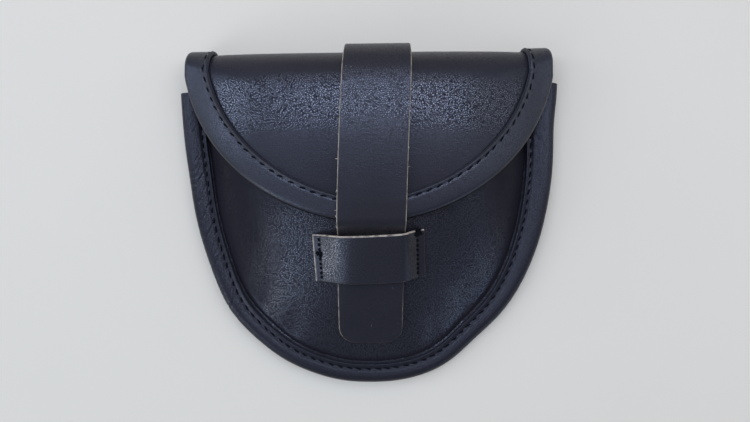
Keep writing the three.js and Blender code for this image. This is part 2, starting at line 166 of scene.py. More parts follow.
# Puffed bindings: the fold's crown, and the stitches' groove and its half width
Puff = namedtuple("Puff", "crown groove groove_half")
BODY_PUFF = Puff(1.1, 0.4, 0.7)
FLAP_PUFF = Puff(0.15, 0.16, 0.5)
CROWN_BOTTOM = 0.35
CROWN_SKEW = 1.25

# The lip along a binding's cut edge, and the stitches' distance from that edge
LIP = 0.25
LIP_IN = 0.55
LIP_HALF = 0.38
STITCH_IN = 1.4
STITCH_IN_SIDE = 1.9
STITCH_IN_BOTTOM = 2.1

# Cut edges: how far in they are eased, the share of thickness left, and where a raw core fades
BEVEL = 0.4
BINDING_RIM = 0.75
STRAP_RIM = 0.35
KEEPER_RIM = 0.25
RAW_FADE = (0.12, 0.34)

# Where and how much of the raw core shows, on the strap's edges and the keeper's
STRAP_RAW_LEFT = (-0.5, 2.5)
STRAP_RAW_RIGHT = (-6, 4)
STRAP_RAW_LEAST = 0.1
STRAP_RAW_SPOT = {"above_end": 14, "half": 6, "share": 0.35}
KEEPER_RAW_LEFT = 0.9
KEEPER_RAW_REST = 0.05
KEEPER_LEFT_WIDER = 2

# Stitches, how deep they sit, and the step that their headings are taken over
Stitch = namedtuple("Stitch", "long pitch thick slant")
BODY_STITCH = Stitch(3.1, 3.8, 0.64, math.radians(-12))
FLAP_STITCH = Stitch(3.1, 4.3, 0.64, math.radians(12))
KEEPER_STITCH = Stitch(1.55, 1.85, 0.95, math.radians(12))
STITCH_SINK = 0.1
STITCH_STEP = 0.3
KEEPER_STITCH_CLEAR = 0.6
KEEPER_GROOVE = 0.25
KEEPER_GROOVE_HALF = 0.5

# How uneven stitches are: in place and length, as shares, and in slant
PLACE_SPREAD = 0.05
SLANT_SPREAD = math.radians(3)
LONG_SPREAD = 0.06

# A roll of thread: its rings and sides, and its shape as shares of its thickness
THREAD_RINGS = 9
THREAD_SIDES = 8
THREAD_FLAT = 0.85
THREAD_TAPER = 0.45
THREAD_RISE = 0.28
THREAD_DIVE = 0.75

# Tangles of thread on the keeper's two seams, and their rolls' length as a share of their size
KNOTS = [
    {"down": 6.5, "size": 1.9, "rolls": 5, "seed": SEED + 8},
    {"down": 0.2, "size": 3.0, "rolls": 12, "seed": SEED + 9},
]
KNOT_LONG = (0.6, 1.1)

# Loose fibres on the strap's cut edges
FIBRES_LEFT = 9
FIBRES_RIGHT = 3
FIBRE_THICK = 0.14
FIBRE_LONG = (0.4, 1.3)
FIBRE_STRAY = 1.1
FIBRE_RISE = (0, 0.5)

# The flap's open grain fades in and out between these; how smooth leather is elsewhere
GRAIN_FADE_IN = (26, 41)
GRAIN_FADE_OUT = (49, 53)
SMOOTH_MOST = 0.9
FRONT_SMOOTH = 0.35
KEEPER_SMOOTH = 0.8

# Painted shade: less gloss darkens the front's sides and the keeper's right end
FRONT_SHADE = 0.8
FRONT_SHADE_LEFT = (32, 42)
FRONT_SHADE_RIGHT = (48, 62)
FRONT_SHADE_WAY = (0.62, 0.85)
KEEPER_SHADE = 0.4
KEEPER_SHADE_LONG = (10, 13)

# The front's fine wrinkles, at its lower corners and towards its seam
WRINKLE_ACROSS = 75
WRINKLE_ALONG = 7
WRINKLE_DEEP = 0.7
WRINKLE_DEGREES = 30
WRINKLE_HALF = 16
WRINKLE_WAY = (0.55, 0.8)

# Soft creases: how many, and the ends between which values are drawn; then where along a piece they are
Creases = namedtuple("Creases", "count across slant reach half deep")
FRONT_CREASES = Creases(9, (-8, 16), (-0.1, 0.1), (6, 12), (0.45, 0.7), (0.04, 0.1))
LEFT_CREASES = Creases(60, (2.2, 5.5), (0.9, 2.0), (1.0, 2.2), (0.3, 0.5), (0.05, 0.15))
RIGHT_CREASES = Creases(16, (3.5, 7), (-2.6, -0.8), (1, 2), (0.5, 0.9), (0.02, 0.06))
FLAP_CREASES = Creases(30, (3, 6), (-0.5, 0.5), (1, 2.4), (0.6, 1.1), (0.01, 0.05))
FRONT_CREASE_X = (-47, -41)
FRONT_CREASE_END = 0.97
LEFT_CREASE_RUN = (2, 95)
RIGHT_CREASE_RUN = 60
FLAP_CREASE_CLEAR = 20

# Rows and columns of the fine grids, how much they crowd towards an edge, and where some begin
FRONT_COLUMNS = 300
FRONT_ROWS = 96
FRONT_CROWD = 1.4
RIM_ROWS = 8
MOUTH_START = 0.45
HIDE_COLUMNS = 150
HIDE_CROWD = 0.75
BACK_ROWS = 60
BACK_CROWD = 0.8
TIP_ANGLE = 0.05
NECK_ROWS = 6
ROLL_ROWS = 44
FLAP_ROWS = 90
CREASED_ROWS = 420
CREASED_END = -0.7
PLAIN_ROWS = 330
FLAP_NECK_ROWS = 8
FLAP_NECK_CLEAR = 6 * GAP
FLAP_ROLL_ROWS = 60
FLAP_EDGE_ROWS = 300
TURNED_UNDER = -0.6
STRAP_COLUMNS = 22
STRAP_FRONT_ROWS = 130
STRAP_BACK_ROWS = 40
KEEPER_COLUMNS = 90
KEEPER_ROWS = 30
SEAM_POINTS = 60
SHARP_ANGLE = math.radians(50)

# Noises of the materials, in waves to the metre, and the depth of their relief in metres
WAVE_SCALE = 130.0
CLOUD_SCALE = 45.0
SPECK_SCALE = 700.0
PATCH_SCALE = 60.0
FLESH_SCALE = 1500.0
RAGGED_SCALE = 420.0
STRAND_SCALE = 2600.0
FLOOR_SCALE = 9.0
GRAIN_DEEP = 0.00016
STRAND_DEEP = 0.0001

# The grain's bend, and how far from a crease, in cells, pebbles round, the painted crease shade darkens the
# colour, and the gloss falls (partly as painted shade)
WARP_SCALE = 0.6
WARP_SHARE = 0.35
PEBBLE_ROUND = 0.3
CREASE_DARK = 0.12
CREASE_DRY = 0.2
GLOSS_FADE = (0.03, 0.26)

# Roughness of creases and raw leather, and the gloss left on smooth leather, under painted shade and on
# thread
CREASE_ROUGH = 0.5
DRY_ROUGH = 0.9
SMOOTH_GLOSS = 0.28
SHADED_GLOSS = 0.03
THREAD_GLOSS = 0.05

# Colours of the painted shade in creases, scuffs, raw core, flesh side, thread, floor and the light all round
CREASE_SHADE_COLOUR = (0.004, 0.004, 0.006)
SCUFF_COLOUR = (0.16, 0.15, 0.14)
CORE_COLOURS = (0.36, 0.28, 0.17), (0.85, 0.7, 0.48)
FLESH_COLOURS = (0.03, 0.03, 0.033), (0.06, 0.058, 0.058)
THREAD_COLOURS = (0.0015, 0.0015, 0.002), (0.006, 0.006, 0.007)
FLOOR_COLOURS = (0.73, 0.64, 0.445), (0.765, 0.665, 0.47)
SKY_COLOUR = (0.58, 0.68, 1.0)
SKY_STRENGTH = 0.31

# The floor's reach and area lights: degrees that each leans, distance and size in metres, power and colour
FLOOR_REACH = 2.5
Light = namedtuple("Light", "name lean_x lean_y away wide high power colour")
LIGHTS = [
    Light("top_band", 0, 12, 1.1, 2.2, 0.17, 11, (0.55, 0.66, 1.0)),
    Light("warm_band", 28, 12, 1.1, 0.8, 0.16, 0.2, (1.0, 0.55, 0.1)),
    Light("upper_band", 0, 36, 1.1, 2.2, 0.5, 5, (0.55, 0.66, 1.0)),
    Light("overhead", 0, -18, 1.1, 1.6, 0.35, 0.25, (1.0, 0.9, 0.85)),
    Light("left_window", -65, 24, 1.5, 0.32, 0.56, 4.0, (0.55, 0.68, 1.0)),
    Light("left_middle_window", -47, -43, 1.5, 0.75, 1.1, 5.8, (0.54, 0.67, 1.0)),
    Light("left_low_window", -69, -58, 1.5, 0.4, 0.4, 3.0, (0.8, 0.87, 1.0)),
    Light("back_wall", 0, 57, 1.5, 3.0, 1.6, 4.5, (1.0, 0.95, 0.92)),
    Light("right_window", 62, 20, 1.5, 0.7, 0.9, 2.4, (0.7, 0.8, 1.0)),
    Light("right_fill", 79, -78, 1.4, 0.9, 0.35, 1.7, (0.48, 0.64, 1.0)),
]

# The camera, in the same millimetres, with its focal length as a share of the picture's width
CAMERA_SPOT = (2.3, 2.5, 230)
FOCAL_SHARE = 553 / 750
SENSOR = 36
CLIP_START = 10


def lerp(low, high, share):
    return low + (high - low) * share


def smoothstep(value, low, high):
    share = np.clip((value - low) / (high - low), 0, 1)
    return share * share * (3 - 2 * share)


def soft_max(a, b, soft):
    return (a + b + np.hypot(a - b, soft)) / 2


def soft_min(a, b, soft):
    return a + b - soft_max(a, b, soft)


def signed_power(value, power):
    return np.sign(value) * np.abs(value) ** power


def unit(vectors):
    return vectors / np.linalg.norm(vectors, axis=-1, keepdims=True)


def stack(x, y, z):
    return np.stack(np.broadcast_arrays(x, y, z), axis=-1).astype(float)


def rounded_d(angle, rounding):
    across = signed_power(np.sin(angle), 2 / rounding)
    down = np.maximum(0, np.cos(angle)) ** (2 / rounding)
    return across, down


def body_round(x):
    return np.where(x < 0, BODY_ROUND_LEFT, BODY_ROUND_RIGHT)


def bell(away, half):
    return np.exp(-((away / half) ** 2))


def fading_sum(lobes, angle):
    total = np.zeros_like(angle)
    for lobe in lobes:
        away = (angle - math.radians(lobe.degrees)) / math.radians(lobe.half)
        total = total + lobe.size * np.exp(-away * away)
    return total


def swell(across, down):
    return 1 + fading_sum(SWELLS, np.arctan2(across, down))


def body_curve(angle, half, deep):
    across, down = rounded_d(angle, body_round(angle))
    scale = swell(across, down)
    return half * across * scale, MOUTH_Y - deep * down * scale


def body_edge(angle, inset):
    return body_curve(angle, BODY_HALF - inset, BODY_DEEP - inset)


def flap_edge(angle, inset):
    across, down = rounded_d(angle, FLAP_ROUND)
    return (FLAP_HALF - inset) * across, FLAP_LINE_Y - (FLAP_DEEP - inset) * down


def inward_of(edge, angle):
    x0, y0 = edge(angle - NUDGE, 0)
    x1, y1 = edge(angle + NUDGE, 0)
    length = np.hypot(x1 - x0, y1 - y0)
    return (y0 - y1) / length, (x1 - x0) / length


def even_share(x, y, inset):
    """How far out a plan point lies on an even body: 0 at the mouth's middle, 1 on the outline."""
    across = np.abs(x) / (BODY_HALF - inset)
    down = np.maximum(0, MOUTH_Y - y) / (BODY_DEEP - inset)
    rounding = body_round(x)
    return (across**rounding + down**rounding) ** (1 / rounding)


def body_share(x, y, inset):
    """The same on the body with its swells."""
    down = np.maximum(0, MOUTH_Y - y) / (BODY_DEEP - inset)
    return even_share(x, y, inset) / swell(x / (BODY_HALF - inset), down)


def outline_angle(x, y):
    return np.arctan2(x / BODY_HALF, np.maximum(0, MOUTH_Y - y) / BODY_DEEP)


def body_band(x, y):
    side = np.where(x < 0, BODY_BAND_LEFT, BODY_BAND_RIGHT)
    return lerp(BODY_BAND_BOTTOM, side, np.sin(outline_angle(x, y)) ** BODY_BAND_POWER)


def flat_rim(x, y):
    return body_band(x, y) + BAND_CLEAR


def gather_depth(x, y, share):
    fade = smoothstep(share, GATHER_START, GATHER_FULL) * (1 - smoothstep(share, GATHER_END, 1))
    return fade * fading_sum(GATHERS, outline_angle(x, y))


def front_height(x, y):
    share = body_share(x, y, flat_rim(x, y))
    dip = 1 - MOUTH_DIP / DOME * smoothstep(y, MOUTH_Y - MOUTH_DIP_RUN, MOUTH_Y)
    rise = DOME * np.maximum(0, 1 - share**FRONT_POWER)
    return FRONT_Z + rise * dip - gather_depth(x, y, share)


def flap_height(x, y):
    share = even_share(x, y, flat_rim(x, y) - FLAP_LIFT)
    rise = DOME * soft_max(0, 1 - share**FLAP_POWER, FLAP_FOOT) ** FLAP_EDGE
    return FRONT_Z + FLAP_LIFT + rise


def back_height(x, y):
    inner = 1 - smoothstep(body_share(x, y, flat_rim(x, y)), BACK_INNER, BACK_OUTER)
    above = smoothstep(y, BELT_LOW_Y - BELT_RAMP, BELT_LOW_Y)
    below = 1 - smoothstep(y, BELT_HIGH_Y, BELT_HIGH_Y + BELT_RAMP)
    return BACK_Z + inner * (SEAT_Z - BACK_Z + BELT_GAP * above * below)


def on_height(height, x, y):
    slope_x = (height(x + NUDGE, y) - height(x - NUDGE, y)) / (2 * NUDGE)
    slope_y = (height(x, y + NUDGE) - height(x, y - NUDGE)) / (2 * NUDGE)
    return stack(x, y, height(x, y)), unit(stack(-slope_x, -slope_y, 1.0))


Roll = namedtuple("Roll", "back rise top start end")


def roll_shape(x):
    """The roll's two quarter ellipses: from the back, at start, over the top to the flap, at end."""
    aside = (x / ROLL_HALF) ** 2
    top = TOP_Y + TOP_SAG * aside + TOP_TILT * x
    back = back_height(x, TOP_Y)
    reach = soft_min(ROLL_REACH, (flap_height(x, TOP_Y) - back) / 2, ROLL_SOFT)
    end = top - lerp(ROLL_LONG, 1, aside) * reach
    rise = (flap_height(x, end) - back) / 2
    return Roll(back, rise, top, top - reach, end)


SIDE_START = float(roll_shape(np.float64(ROLL_HALF - FLAP_INSET)).start)


def hide_middle(x, run):
    """The hide's middle: run is below 0 on the back, 0 to ROLL_RUN round the roll, and more on the flap."""
    roll = roll_shape(x)
    turn = np.pi * np.clip(run, 0, ROLL_RUN) / ROLL_RUN
    back_y = roll.start + np.minimum(run, 0)
    flap_y = roll.end - np.maximum(run - ROLL_RUN, 0)
    roll_y = lerp(np.where(turn < QUARTER, roll.start, roll.end), roll.top, np.sin(turn))
    roll_z = roll.back + roll.rise * (1 - np.cos(turn))
    y = np.where(run < 0, back_y, np.where(run > ROLL_RUN, flap_y, roll_y))
    z = np.where(run < 0, back_height(x, back_y), np.where(run > ROLL_RUN, flap_height(x, flap_y), roll_z))
    return stack(x, y, z)


def on_hide(x, run):
    across = hide_middle(x + NUDGE, run) - hide_middle(x - NUDGE, run)
    along = hide_middle(x, run + NUDGE) - hide_middle(x, run - NUDGE)
    return hide_middle(x, run), unit(np.cross(along, across))


def back_run(x, y):
    return y - roll_shape(x).start


def flap_run(x, y):
    return ROLL_RUN + roll_shape(x).end - y


def creases(along, across, rows):
    """The summed depth of soft creases."""
    depth = np.zeros(np.broadcast(along, across).shape)
    for row in rows:
        beyond = across - row["across"]
        off = along - row["along"] - row["slant"] * beyond
        depth += row["deep"] * np.exp(-((off / row["half"]) ** 2) - (beyond / row["reach"]) ** 2)
    return depth


def random_creases(seed, along, kind):
    """Rows for creases(), each value drawn between its two ends."""
    draw = np.random.default_rng(seed)
    ends = {"along": along, **kind._asdict()}
    count = ends.pop("count")
    return [{name: draw.uniform(*pair) for name, pair in ends.items()} for _ in range(count)]


def grid_faces(rows, columns):
    """Quads of a closed leather: an outer skin, an inner skin and the rim between them."""
    index = np.arange(rows * columns).reshape(rows, columns)
    corners = [index[:-1, :-1], index[:-1, 1:], index[1:, 1:], index[1:, :-1]]
    outer = np.stack(corners, axis=-1).reshape(-1, 4)
    inner = outer[:, ::-1] + rows * columns
    border = np.concatenate([index[0, :-1], index[:-1, -1], index[-1, :0:-1], index[:0:-1, 0]])
    after = np.roll(border, -1)
    rim = np.stack([after, border, border + rows * columns, after + rows * columns], axis=-1)
    return np.concatenate([outer, inner, rim])


def new_object(name, data):
    thing = bpy.data.objects.new(name, data)
    bpy.context.scene.collection.objects.link(thing)
    return thing


def new_piece(name, points, faces, material, attributes=None):
    """A smooth mesh object that rides on the bag, with the material it is given."""
    mesh = bpy.data.meshes.new(name)
    mesh.from_pydata((np.asarray(points) * MM).tolist(), [], [tuple(face) for face in faces])
    for key, values in (attributes or {}).items():
        attribute = mesh.attributes.new(key, "FLOAT", "POINT")
        attribute.data.foreach_set("value", np.ascontiguousarray(values, dtype=np.float32).ravel())
    cleaner = bmesh.new()
    cleaner.from_mesh(mesh)
    bmesh.ops.recalc_face_normals(cleaner, faces=cleaner.faces)
    cleaner.to_mesh(mesh)
    cleaner.free()
    mesh.shade_smooth()
    mesh.set_sharp_from_angle(angle=SHARP_ANGLE)
    piece = new_object(name, mesh)
    mesh.materials.append(material)
    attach(piece, "root")
    return piece


def leather(
    name, middle, normal, thickness, look,
    edge=None, rim=1.0, outer=0.0, raw=None, marks=None, skived=False,
):
    """A leather about a grid of middle points.

    edge is each point's distance from the cut, where the thickness is eased to the share rim. outer moves the
    grain side, raw says where the cut core shows, and marks are more attributes by name. Skived edges are
    thinned from the grain side alone. The material is the one with the look's name.
    """
    rows, columns = middle.shape[:2]
    share = np.ones((rows, columns)) if edge is None else np.clip(edge / BEVEL, 0, 1)
    half = thickness / 2 * lerp(rim, 1, np.sqrt(1 - (1 - share) ** 2))
    drop = thickness / 2 - half if skived else 0
    top = middle + normal * (half + outer - drop)[..., None]
    bottom = middle - normal * (half + drop)[..., None]
    points = np.concatenate([top.reshape(-1, 3), bottom.reshape(-1, 3)])
    bare = np.zeros((rows, columns)) if raw is None else raw
    attributes = {"flesh": np.repeat([0.0, 1.0], rows * columns)}
    for key, values in {"raw": bare, **(marks or {})}.items():
        attributes[key] = np.tile(values.ravel(), 2)
    return new_piece(name, points, grid_faces(rows, columns), LEATHERS[look], attributes)


def arc_length(points):
    steps = np.linalg.norm(np.diff(points, axis=0), axis=1)
    return np.concatenate([[0], np.cumsum(steps)])


def at_length(values, lengths, wanted):
    return np.stack([np.interp(wanted, lengths, values[:, k]) for k in range(values.shape[1])], axis=-1)


def thread_roll(centre, along, up, long, thick, sink):
    """One short bent roll of thread whose ends go down into the leather."""
    aside = np.cross(up, along)
    around = np.linspace(0, 2 * np.pi, THREAD_SIDES, endpoint=False)
    circle = np.cos(around)[:, None] * aside + THREAD_FLAT * np.sin(around)[:, None] * up
    points = []
    for ring in np.linspace(-1, 1, THREAD_RINGS):
        radius = thick / 2 * (1 - THREAD_TAPER * abs(ring) ** 5)
        lift = thick * (THREAD_RISE - THREAD_DIVE * ring**4) - sink
        points.append(centre + along * ring * long / 2 + up * lift + radius * circle)
    return np.concatenate(points)


def stitch_row(path, normals, stitch, seed):
    """Rolls for one row of stitches along a path, a little uneven."""
    draw = np.random.default_rng(seed)
    lengths = arc_length(path)
    count = int((lengths[-1] - stitch.long) / stitch.pitch)
    first = (lengths[-1] - count * stitch.pitch) / 2
    stray = draw.normal(0, PLACE_SPREAD * stitch.pitch, count + 1)
    rolls = []
    for spot in first + stitch.pitch * np.arange(count + 1) + stray:
        turn = stitch.slant + draw.normal(0, SLANT_SPREAD)
        near = np.array([spot, spot - STITCH_STEP, spot + STITCH_STEP])
        centre, before, after = at_length(path, lengths, near)
        up = unit(at_length(normals, lengths, near[:1])[0])
        forward = unit(after - before)
        along = forward * math.cos(turn) + np.cross(up, forward) * math.sin(turn)
        long = stitch.long * draw.normal(1, LONG_SPREAD)
        rolls.append(thread_roll(centre, along, up, long, stitch.thick, STITCH_SINK))
    return rolls


def knot(centre, along, up, size, thick, count, seed):
    """Rolls for a small tangle of thread, which lie across each other."""
    draw = np.random.default_rng(seed)
    aside = np.cross(up, along)
    spread = size / 4
    rolls = []
    for _ in range(count):
        turn = draw.uniform(0, np.pi)
        spot = centre + along * draw.normal(0, spread) + aside * draw.normal(0, spread)
        spot = spot + up * draw.uniform(0, thick / 2)
        way = along * math.cos(turn) + aside * math.sin(turn)
        rolls.append(thread_roll(spot, way, up, size * draw.uniform(*KNOT_LONG), thick, 0))
    return rolls


def thread_piece(name, rolls, material):
    """One piece of many rolls, each of them closed by a flat cap at both ends."""
    index = np.arange(THREAD_RINGS * THREAD_SIDES).reshape(THREAD_RINGS, THREAD_SIDES)
    after = np.roll(index, -1, axis=1)
    walls = np.stack([index[:-1], after[:-1], after[1:], index[1:]], axis=-1).reshape(-1, 4)
    one_roll = [*walls, index[0, ::-1], index[-1]]
    faces = [face + k * index.size for k in range(len(rolls)) for face in one_roll]
    new_piece(name, np.concatenate(rolls), faces, material)


class Nodes:
    """Adds nodes to one material and links them by socket name."""

    def __init__(self, name):
        self.material = bpy.data.materials.new(name)
        self.material.use_nodes = True
        self.tree = self.material.node_tree
        self.shader = self.tree.nodes["Principled BSDF"]
        self.place = self.add("ShaderNodeTexCoord").outputs["Object"]

    def add(self, kind, settings=None, first=(), **inputs):
        """A node with its settings, its first inputs in order, and others by name."""
        node = self.tree.nodes.new(kind)
        for key, value in (settings or {}).items():
            setattr(node, key, value)
        for socket, value in zip(node.inputs, first):
            self.put(socket, value)
        for key, value in inputs.items():
            self.put(node.inputs[key], value)
        return node

    def put(self, socket, value):
        if isinstance(value, bpy.types.NodeSocket):
            self.tree.links.new(value, socket)
        else:
            socket.default_value = value

    def set(self, name, value):
        self.put(self.shader.inputs[name], value)

    def math(self, operation, a, b):
        return self.add("ShaderNodeMath", {"operation": operation}, (a, b)).outputs[0]

    def shifted(self, noise, size):
        """The place moved by a coloured noise times a size."""
        terms = (noise, (size, size, size), self.place)
        return self.add("ShaderNodeVectorMath", {"operation": "MULTIPLY_ADD"}, terms).outputs[0]

    def ramp(self, value, low, high, to_low=0.0, to_high=1.0):
        return self.add("ShaderNodeMapRange", None, (value, low, high, to_low, to_high)).outputs[0]

    def mix(self, share, a, b):
        """A blend of two colours, each a socket or red, green and blue."""
        node = self.add("ShaderNodeMix", {"data_type": "RGBA"}, (share,))
        for socket, colour in ((node.inputs[6], a), (node.inputs[7], b)):
            self.put(socket, (*colour, 1) if isinstance(colour, tuple) else colour)
        return node.outputs[2]

    def attribute(self, name):
        return self.add("ShaderNodeAttribute", {"attribute_name": name}).outputs["Fac"]

    def noise(self, scale, detail=2.0, roughness=0.6, place=None):
        spot = self.place if place is None else place
        inputs = {"Vector": spot, "Scale": scale, "Detail": detail, "Roughness": roughness}
        return self.add("ShaderNodeTexNoise", **inputs).outputs[0]

    def relief(self, height, strength, deep):
        raised = self.add("ShaderNodeBump", Strength=strength, Distance=deep, Height=height)
        self.set("Normal", raised.outputs[0])


def grain_height(nodes, look):
    """The distance from the creases between pebbles, and the height of the relief."""
    warp = nodes.add("ShaderNodeTexNoise", Vector=nodes.place, Scale=look.grain * WARP_SCALE, Detail=1.0)
    bent = nodes.shifted(warp.outputs["Color"], WARP_SHARE / look.grain)
    cells = nodes.add("ShaderNodeTexVoronoi", {"feature": "DISTANCE_TO_EDGE"}, Vector=bent, Scale=look.grain)
    from_crease = cells.outputs["Distance"]
    pebbles = nodes.math("MULTIPLY", nodes.ramp(from_crease, 0.0, PEBBLE_ROUND), look.pebble)
    lumps = nodes.math("MULTIPLY", nodes.noise(look.grain), look.lumps)
    waves = nodes.math("MULTIPLY", nodes.noise(WAVE_SCALE), look.waves)
    return from_crease, nodes.math("ADD", nodes.math("ADD", pebbles, lumps), waves)


def wrinkle_height(nodes):
    """Fine wrinkles that run in from a seam, where the mesh has them."""
    across = nodes.attribute("wrinkle_across")
    along = nodes.attribute("wrinkle_along")
    drawn_out = nodes.add("ShaderNodeCombineXYZ", X=across, Y=along).outputs[0]
    return nodes.math("MULTIPLY", nodes.noise(1.0, place=drawn_out), nodes.attribute("wrinkle_depth"))


def leather_colour(nodes, from_crease, cloud, raw, look):
    """Cloudy, with painted shade in the grain's creases, and scuffed on the grain side; fibrous on the flesh
    side and the raw core.
    """
    speck = nodes.ramp(nodes.noise(SPECK_SCALE), 0.7, 0.76)
    patch = nodes.ramp(nodes.noise(PATCH_SCALE), 0.5, 0.66)
    scuff = nodes.math("MULTIPLY", nodes.math("MULTIPLY", speck, patch), look.scuffs)
    grained = nodes.mix(nodes.ramp(cloud, 0.3, 0.7), look.colour, look.light)
    # Painted shade: the colour darkens close to the grain's creases
    creased = nodes.mix(nodes.ramp(from_crease, 0.0, CREASE_DARK, 0.55, 0.0), grained, CREASE_SHADE_COLOUR)
    scuffed = nodes.mix(scuff, creased, SCUFF_COLOUR)
    fibres = nodes.noise(FLESH_SCALE, 4.0, 0.8)
    core = nodes.mix(fibres, *CORE_COLOURS)
    flesh = nodes.mix(fibres, *FLESH_COLOURS)
    return nodes.mix(raw, nodes.mix(nodes.attribute("flesh"), scuffed, flesh), core)


def leather_roughness(nodes, from_crease, cloud, raw, look):
    """Cloudy, and rougher in the creases; the flesh side and the raw core are dry."""
    smooth = nodes.ramp(cloud, 0.25, 0.75, look.rough - 0.04, look.rough + 0.05)
    grained = nodes.ramp(from_crease, 0.0, CREASE_DRY, CREASE_ROUGH, smooth)
    dry = nodes.math("MAXIMUM", raw, nodes.attribute("flesh"))
    return nodes.ramp(dry, 0.0, 1.0, grained, DRY_ROUGH)


def leather_gloss(nodes, from_crease, look):
    """Less in the creases, partly as painted shade; less where the leather is smooth; least under painted
    shade.
    """
    # Partly painted shade: less gloss in the grain's creases, which are also duller
    grained = nodes.ramp(from_crease, *GLOSS_FADE, look.dull, look.shine)
    gloss = nodes.ramp(nodes.attribute("smooth"), 0.0, 1.0, grained, SMOOTH_GLOSS * look.shine)
    # Painted shade: the gloss falls to a little where this attribute is set, which darkens the leather
    kept = nodes.ramp(nodes.attribute("painted_shade"), 0.0, 1.0, 1.0, SHADED_GLOSS)
    return nodes.math("MULTIPLY", gloss, kept)


def leather_material(name, look):
    """Grained leather with cloudy colour, scuffs, raw cut edges and a flesh side."""
    nodes = Nodes(name)
    from_crease, grain = grain_height(nodes, look)
    nodes.relief(nodes.math("ADD", grain, wrinkle_height(nodes)), look.bump, GRAIN_DEEP)
    cloud = nodes.noise(CLOUD_SCALE)
    ragged = nodes.ramp(nodes.noise(RAGGED_SCALE, 3.0), 0.3, 0.55, 0.25, 1.0)
    raw = nodes.math("MULTIPLY", nodes.attribute("raw"), ragged)
    nodes.set("Base Color", leather_colour(nodes, from_crease, cloud, raw, look))
    nodes.set("Roughness", leather_roughness(nodes, from_crease, cloud, raw, look))
    nodes.set("Specular IOR Level", leather_gloss(nodes, from_crease, look))
    return nodes.material


def thread_material(name, dark, light):
    """Thread or loose fibre: fine strands with a dull shine."""
    nodes = Nodes(name)
    strands = nodes.noise(STRAND_SCALE)
    nodes.relief(strands, 0.5, STRAND_DEEP)
    nodes.set("Base Color", nodes.mix(strands, dark, light))
    nodes.set("Roughness", nodes.ramp(strands, 0.3, 0.7, 0.5, 0.75))
    nodes.set("Specular IOR Level", THREAD_GLOSS)
    return nodes.material


def floor_material():
    nodes = Nodes("pale_floor")
    cloud = nodes.noise(FLOOR_SCALE, 3.0)
    nodes.set("Base Color", nodes.mix(cloud, *FLOOR_COLOURS))
    nodes.set("Roughness", 0.85)
    return nodes.material


# Each leather: two colours, roughness, grains to the metre, the heights of its relief and their strength, the
# gloss on pebbles and in creases, where the lower gloss is partly painted shade, and how much it is scuffed
Look = namedtuple("Look", "colour light rough grain pebble lumps waves bump shine dull scuffs")
BINDING_LOOK = Look(
    (0.014, 0.0127, 0.0142), (0.0165, 0.0148, 0.0165), 0.3, 1500, 0.15, 0.7, 0.6, 0.36, 0.6, 0.35, 0.1
)
LOOKS = {
    "panel_leather": Look(
        (0.0155, 0.0135, 0.0148), (0.0178, 0.0153, 0.0168), 0.22, 1450, 0.25, 0.9, 0.6, 0.42, 1.0, 0.05, 0.12
    ),
    "binding_leather": BINDING_LOOK,
    "seam_leather": BINDING_LOOK._replace(
        colour=(0.0145, 0.0128, 0.0142), light=(0.017, 0.015, 0.0165), shine=0.33, dull=0.17
    ),
    "strap_leather": Look(
        (0.0185, 0.0162, 0.0166), (0.022, 0.019, 0.0194), 0.26, 1450, 0.2, 0.9, 0.4, 0.4, 0.85, 0.15, 1.0
    ),
    "keeper_leather": Look(
        (0.015, 0.0125, 0.0126), (0.0178, 0.0148, 0.0147), 0.25, 1400, 0.1, 0.3, 0.4, 0.35, 1.4, 0.3, 0.5
    ),
}
LEATHERS = {name: leather_material(name, look) for name, look in LOOKS.items()}
THREAD_LOOK = thread_material("black_thread", *THREAD_COLOURS)
FIBRE_LOOK = thread_material("raw_fibre", *CORE_COLOURS)


def front_grid():
    """Each point's angle, and its shares of the way from the mouth to the flat rim and of that rim."""
    angles = np.linspace(-QUARTER, QUARTER, FRONT_COLUMNS)
    shares = np.concatenate([1 - np.linspace(1, 0, FRONT_ROWS) ** FRONT_CROWD, np.ones(RIM_ROWS)])
    rims = np.concatenate([np.zeros(FRONT_ROWS), np.linspace(1 / RIM_ROWS, 1, RIM_ROWS)])
    angle, share = np.meshgrid(angles, shares)
    return angle, share, np.broadcast_to(rims[:, None], angle.shape)


def front_marks(x, y, way):
    """Where the front is wrinkled, darkened by painted shade, and smooth."""
    degrees = np.degrees(outline_angle(x, y))
    low = bell(np.abs(degrees) - WRINKLE_DEGREES, WRINKLE_HALF)
    sides = smoothstep(-degrees, *FRONT_SHADE_LEFT) + smoothstep(degrees, *FRONT_SHADE_RIGHT)
    return {
        "wrinkle_across": np.radians(degrees) * WRINKLE_ACROSS,
        "wrinkle_along": way * WRINKLE_ALONG,
        "wrinkle_depth": WRINKLE_DEEP * low * smoothstep(way, *WRINKLE_WAY),
        # Painted shade: less gloss on the front's sides near the seam
        "painted_shade": FRONT_SHADE * sides * smoothstep(way, *FRONT_SHADE_WAY),
        "smooth": np.full_like(x, FRONT_SMOOTH),
    }


def front_panel():
    """The domed front, with low upright creases on its left slope."""
    angle, share, rim = front_grid()
    inset = lerp(flat_rim(*body_edge(angle, 0)), BODY_INSET, rim)
    half = (BODY_HALF - inset) * lerp(MOUTH_START, 1, share)
    x, y = body_curve(angle, half, (BODY_DEEP - inset) * share)
    middle, normal = on_height(front_height, x, y)
    way = body_share(x, y, flat_rim(x, y))
    upright = random_creases(SEED + 1, FRONT_CREASE_X, FRONT_CREASES)
    dents = creases(x, y, upright) * (1 - smoothstep(way, FRONT_CREASE_END, 1))
    piece = leather(
        "front", middle, normal, PANEL, "panel_leather",
        outer=-dents, marks=front_marks(x, y, way),
    )
    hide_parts("front_panel")


def smooth_share(y):
    """Where the flap's leather is smooth: its grain is open only on the band below the roll."""
    open_grain = smoothstep(y, *GRAIN_FADE_IN) * (1 - smoothstep(y, *GRAIN_FADE_OUT))
    return SMOOTH_MOST * (1 - open_grain)


